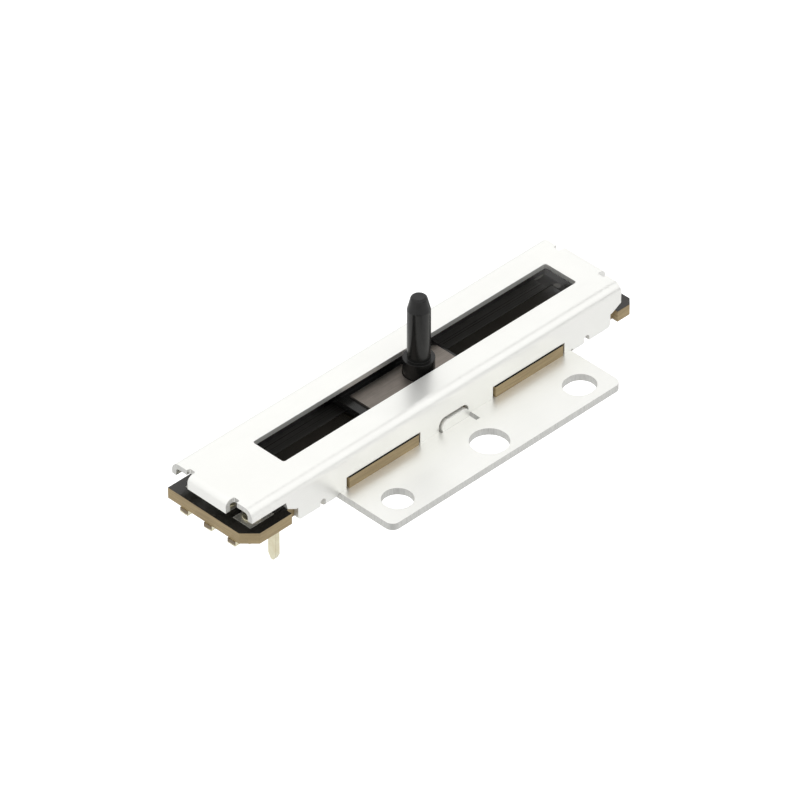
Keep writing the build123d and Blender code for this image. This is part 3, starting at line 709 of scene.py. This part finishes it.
class SENSOR_OT_slider(bpy.types.Operator):
    """Finish the moulded slider, its spring plate and the contact under it"""
    bl_idname = "sensor.slider"
    bl_label = "Slider and springs"

    def execute(self, context):
        finish = context.scene.sensor_slider
        alloy = context.scene.sensor_terminals
        wear("slider", make_moulding_material(finish))
        wear("slider_spring", make_spring_material(finish))
        contact = make_plated_material("contact_alloy", alloy.contact, alloy.brass, alloy.sheared,
                                       alloy.roughness)
        wear("wiper_contact", contact)
        return {"FINISHED"}


class SENSOR_OT_stage(bpy.types.Operator):
    """Set the floor, the soft lamps, the white surroundings and the camera"""
    bl_idname = "sensor.stage"
    bl_label = "Stage"

    def execute(self, context):
        settings = context.scene.sensor_stage
        set_floor(settings)
        set_world(context.scene, settings)
        set_lamps(settings)
        set_cards(settings)
        set_camera(context.scene, settings)
        context.scene.view_settings.view_transform = "Standard"
        return {"FINISHED"}


# ---- stage ------------------------------------------------------------------------

def set_floor(settings):
    """A round pale floor that is seen from above only and keeps the shadow."""
    made, tree, shader = new_material("pale_floor")
    clouds = noise(tree, place(tree), 3.0, 3.0)
    tone = blend(tree, clouds, (0.80, 0.80, 0.80), (0.82, 0.82, 0.82))
    feed(tree, shader, base_color=tone, roughness=0.9)
    shader.inputs["Specular IOR Level"].default_value = 0.0
    seen = put(tree, "ShaderNodeLightPath").outputs["Is Camera Ray"]
    lift = put(tree, "ShaderNodeEmission", {"Strength": maths(tree, "MULTIPLY", seen, settings.floor_lift)})
    lit = put(tree, "ShaderNodeAddShader", {0: shader.outputs[0], 1: lift.outputs[0]})
    clear = put(tree, "ShaderNodeBsdfTransparent")
    back = put(tree, "ShaderNodeNewGeometry").outputs["Backfacing"]
    shown = put(tree, "ShaderNodeMixShader", {0: back, 1: lit.outputs[0], 2: clear.outputs[0]})
    output = next(node for node in tree.nodes if node.type == "OUTPUT_MATERIAL")
    tree.links.new(shown.outputs[0], output.inputs["Surface"])
    bm = bmesh.new()
    bmesh.ops.create_circle(bm, cap_ends=True, segments=settings.segments, radius=settings.floor_size)
    floor = mesh_piece("floor", bm, made)
    floor.location.z = cad_box[0].z - settings.floor_drop


def set_world(scene, settings):
    """White where it is seen or reflected, and a soft even light elsewhere."""
    world = bpy.data.worlds.new("studio")
    world.use_nodes = True
    tree = world.node_tree
    tree.nodes.clear()
    path = put(tree, "ShaderNodeLightPath").outputs
    seen = maths(tree, "MAXIMUM", path["Is Camera Ray"], path["Is Glossy Ray"])
    seen = maths(tree, "MAXIMUM", seen, path["Is Transmission Ray"])
    strength = ramp(tree, seen, 0.0, 1.0, settings.world, 1.0)
    light = put(tree, "ShaderNodeBackground", {"Strength": strength})
    light.inputs["Color"].default_value = (1.0, 1.0, 1.0, 1.0)
    put(tree, "ShaderNodeOutputWorld", {"Surface": light.outputs[0]})
    scene.world = world


def set_lamps(settings):
    """One large soft lamp overhead and one at each side, none of them seen in reflections."""
    centre = (cad_box[0] + cad_box[1]) / 2
    for name, offset, size, setting in LAMPS:
        data = bpy.data.lights.new(name, "AREA")
        data.size = size
        data.energy = getattr(settings, setting)
        lamp = bpy.data.objects.new(name, data)
        lamp.location = centre + Vector(offset)
        lamp.rotation_euler = Vector(offset).to_track_quat("Z", "Y").to_euler()
        lamp.visible_glossy = False
        lamp.visible_camera = False
        bpy.context.scene.collection.objects.link(lamp)


def set_cards(settings):
    """Grey cards that only reflections see: two bands for the long fold, and one in front for the lever."""
    centre = Vector((0.0, AXIS_Y, COVER_HIGH.z))
    for name, way, level, wide, tall, tone in CARDS:
        made, tree, shader = new_material(name)
        tree.nodes.remove(shader)
        glow = put(tree, "ShaderNodeEmission", {"Strength": tone})
        output = next(node for node in tree.nodes if node.type == "OUTPUT_MATERIAL")
        tree.links.new(glow.outputs[0], output.inputs["Surface"])
        bm = bmesh.new()
        bmesh.ops.create_grid(bm, x_segments=1, y_segments=1, size=0.5)
        card = mesh_piece(name, bm, made)
        card.scale = (wide, tall, 1.0)
        direction = Vector(way).normalized()
        depth = direction.cross(Vector(level)).normalized()
        side = depth.cross(direction)
        card.matrix_world = Matrix.LocRotScale(
            centre + direction * settings.card_distance,
            Matrix((side, depth, direction)).transposed().to_quaternion(), card.scale)
        card.visible_camera = card.visible_diffuse = False
        card.visible_shadow = card.visible_transmission = False


def set_camera(scene, settings):
    """A long lens aimed just beside the middle of the slot."""
    turn, rise = math.radians(settings.azimuth), math.radians(settings.elevation)
    back = Vector((math.sin(turn) * math.cos(rise), -math.cos(turn) * math.cos(rise), math.sin(rise)))
    facing_camera = (-back).to_track_quat("-Z", "Y")
    right, up = facing_camera @ Vector((1, 0, 0)), facing_camera @ Vector((0, 1, 0))
    middle = Vector((0.0, AXIS_Y, COVER_HIGH.z))
    aim = middle - right * settings.aside - up * settings.below
    data = bpy.data.cameras.new("camera")
    data.lens = settings.lens
    data.sensor_width = 36.0
    data.clip_start = 0.01
    camera = bpy.data.objects.new("camera", data)
    camera.location = aim + back * settings.distance
    camera.rotation_mode = "QUATERNION"
    camera.rotation_quaternion = facing_camera
    scene.collection.objects.link(camera)
    scene.camera = camera


# ---- panel and registration -------------------------------------------------------

STEPS = (SENSOR_OT_effects, SENSOR_OT_sheet, SENSOR_OT_board, SENSOR_OT_prints, SENSOR_OT_terminals,
         SENSOR_OT_slider, SENSOR_OT_stage)
SETTINGS = {
    "sensor_sheet": SheetFinish,
    "sensor_laminate": LaminateFinish,
    "sensor_prints": PrintFinish,
    "sensor_terminals": TerminalFinish,
    "sensor_slider": SliderFinish,
    "sensor_stage": StageSettings,
}


class SENSOR_PT_panel(bpy.types.Panel):
    """Lists the steps that finish the sensor"""
    bl_idname = "SENSOR_PT_panel"
    bl_label = "Resistive position sensor"
    bl_space_type = "VIEW_3D"
    bl_region_type = "UI"
    bl_category = "Sensor"

    def draw(self, context):
        for step in STEPS:
            self.layout.operator(step.bl_idname)


def register():
    """Register the settings, the operators and the panel."""
    for name, group in SETTINGS.items():
        bpy.utils.register_class(group)
        setattr(bpy.types.Scene, name, PointerProperty(type=group))
    for step in STEPS:
        bpy.utils.register_class(step)
    bpy.utils.register_class(SENSOR_PT_panel)


def unregister():
    """Take away what register adds."""
    bpy.utils.unregister_class(SENSOR_PT_panel)
    for step in reversed(STEPS):
        bpy.utils.unregister_class(step)
    for name, group in SETTINGS.items():
        delattr(bpy.types.Scene, name)
        bpy.utils.unregister_class(group)


def main():
    """Finish the frame step by step."""
    register()
    for step in STEPS:
        group, name = step.bl_idname.split(".")
        getattr(getattr(bpy.ops, group), name)()


if __name__ == "__main__":
    main()
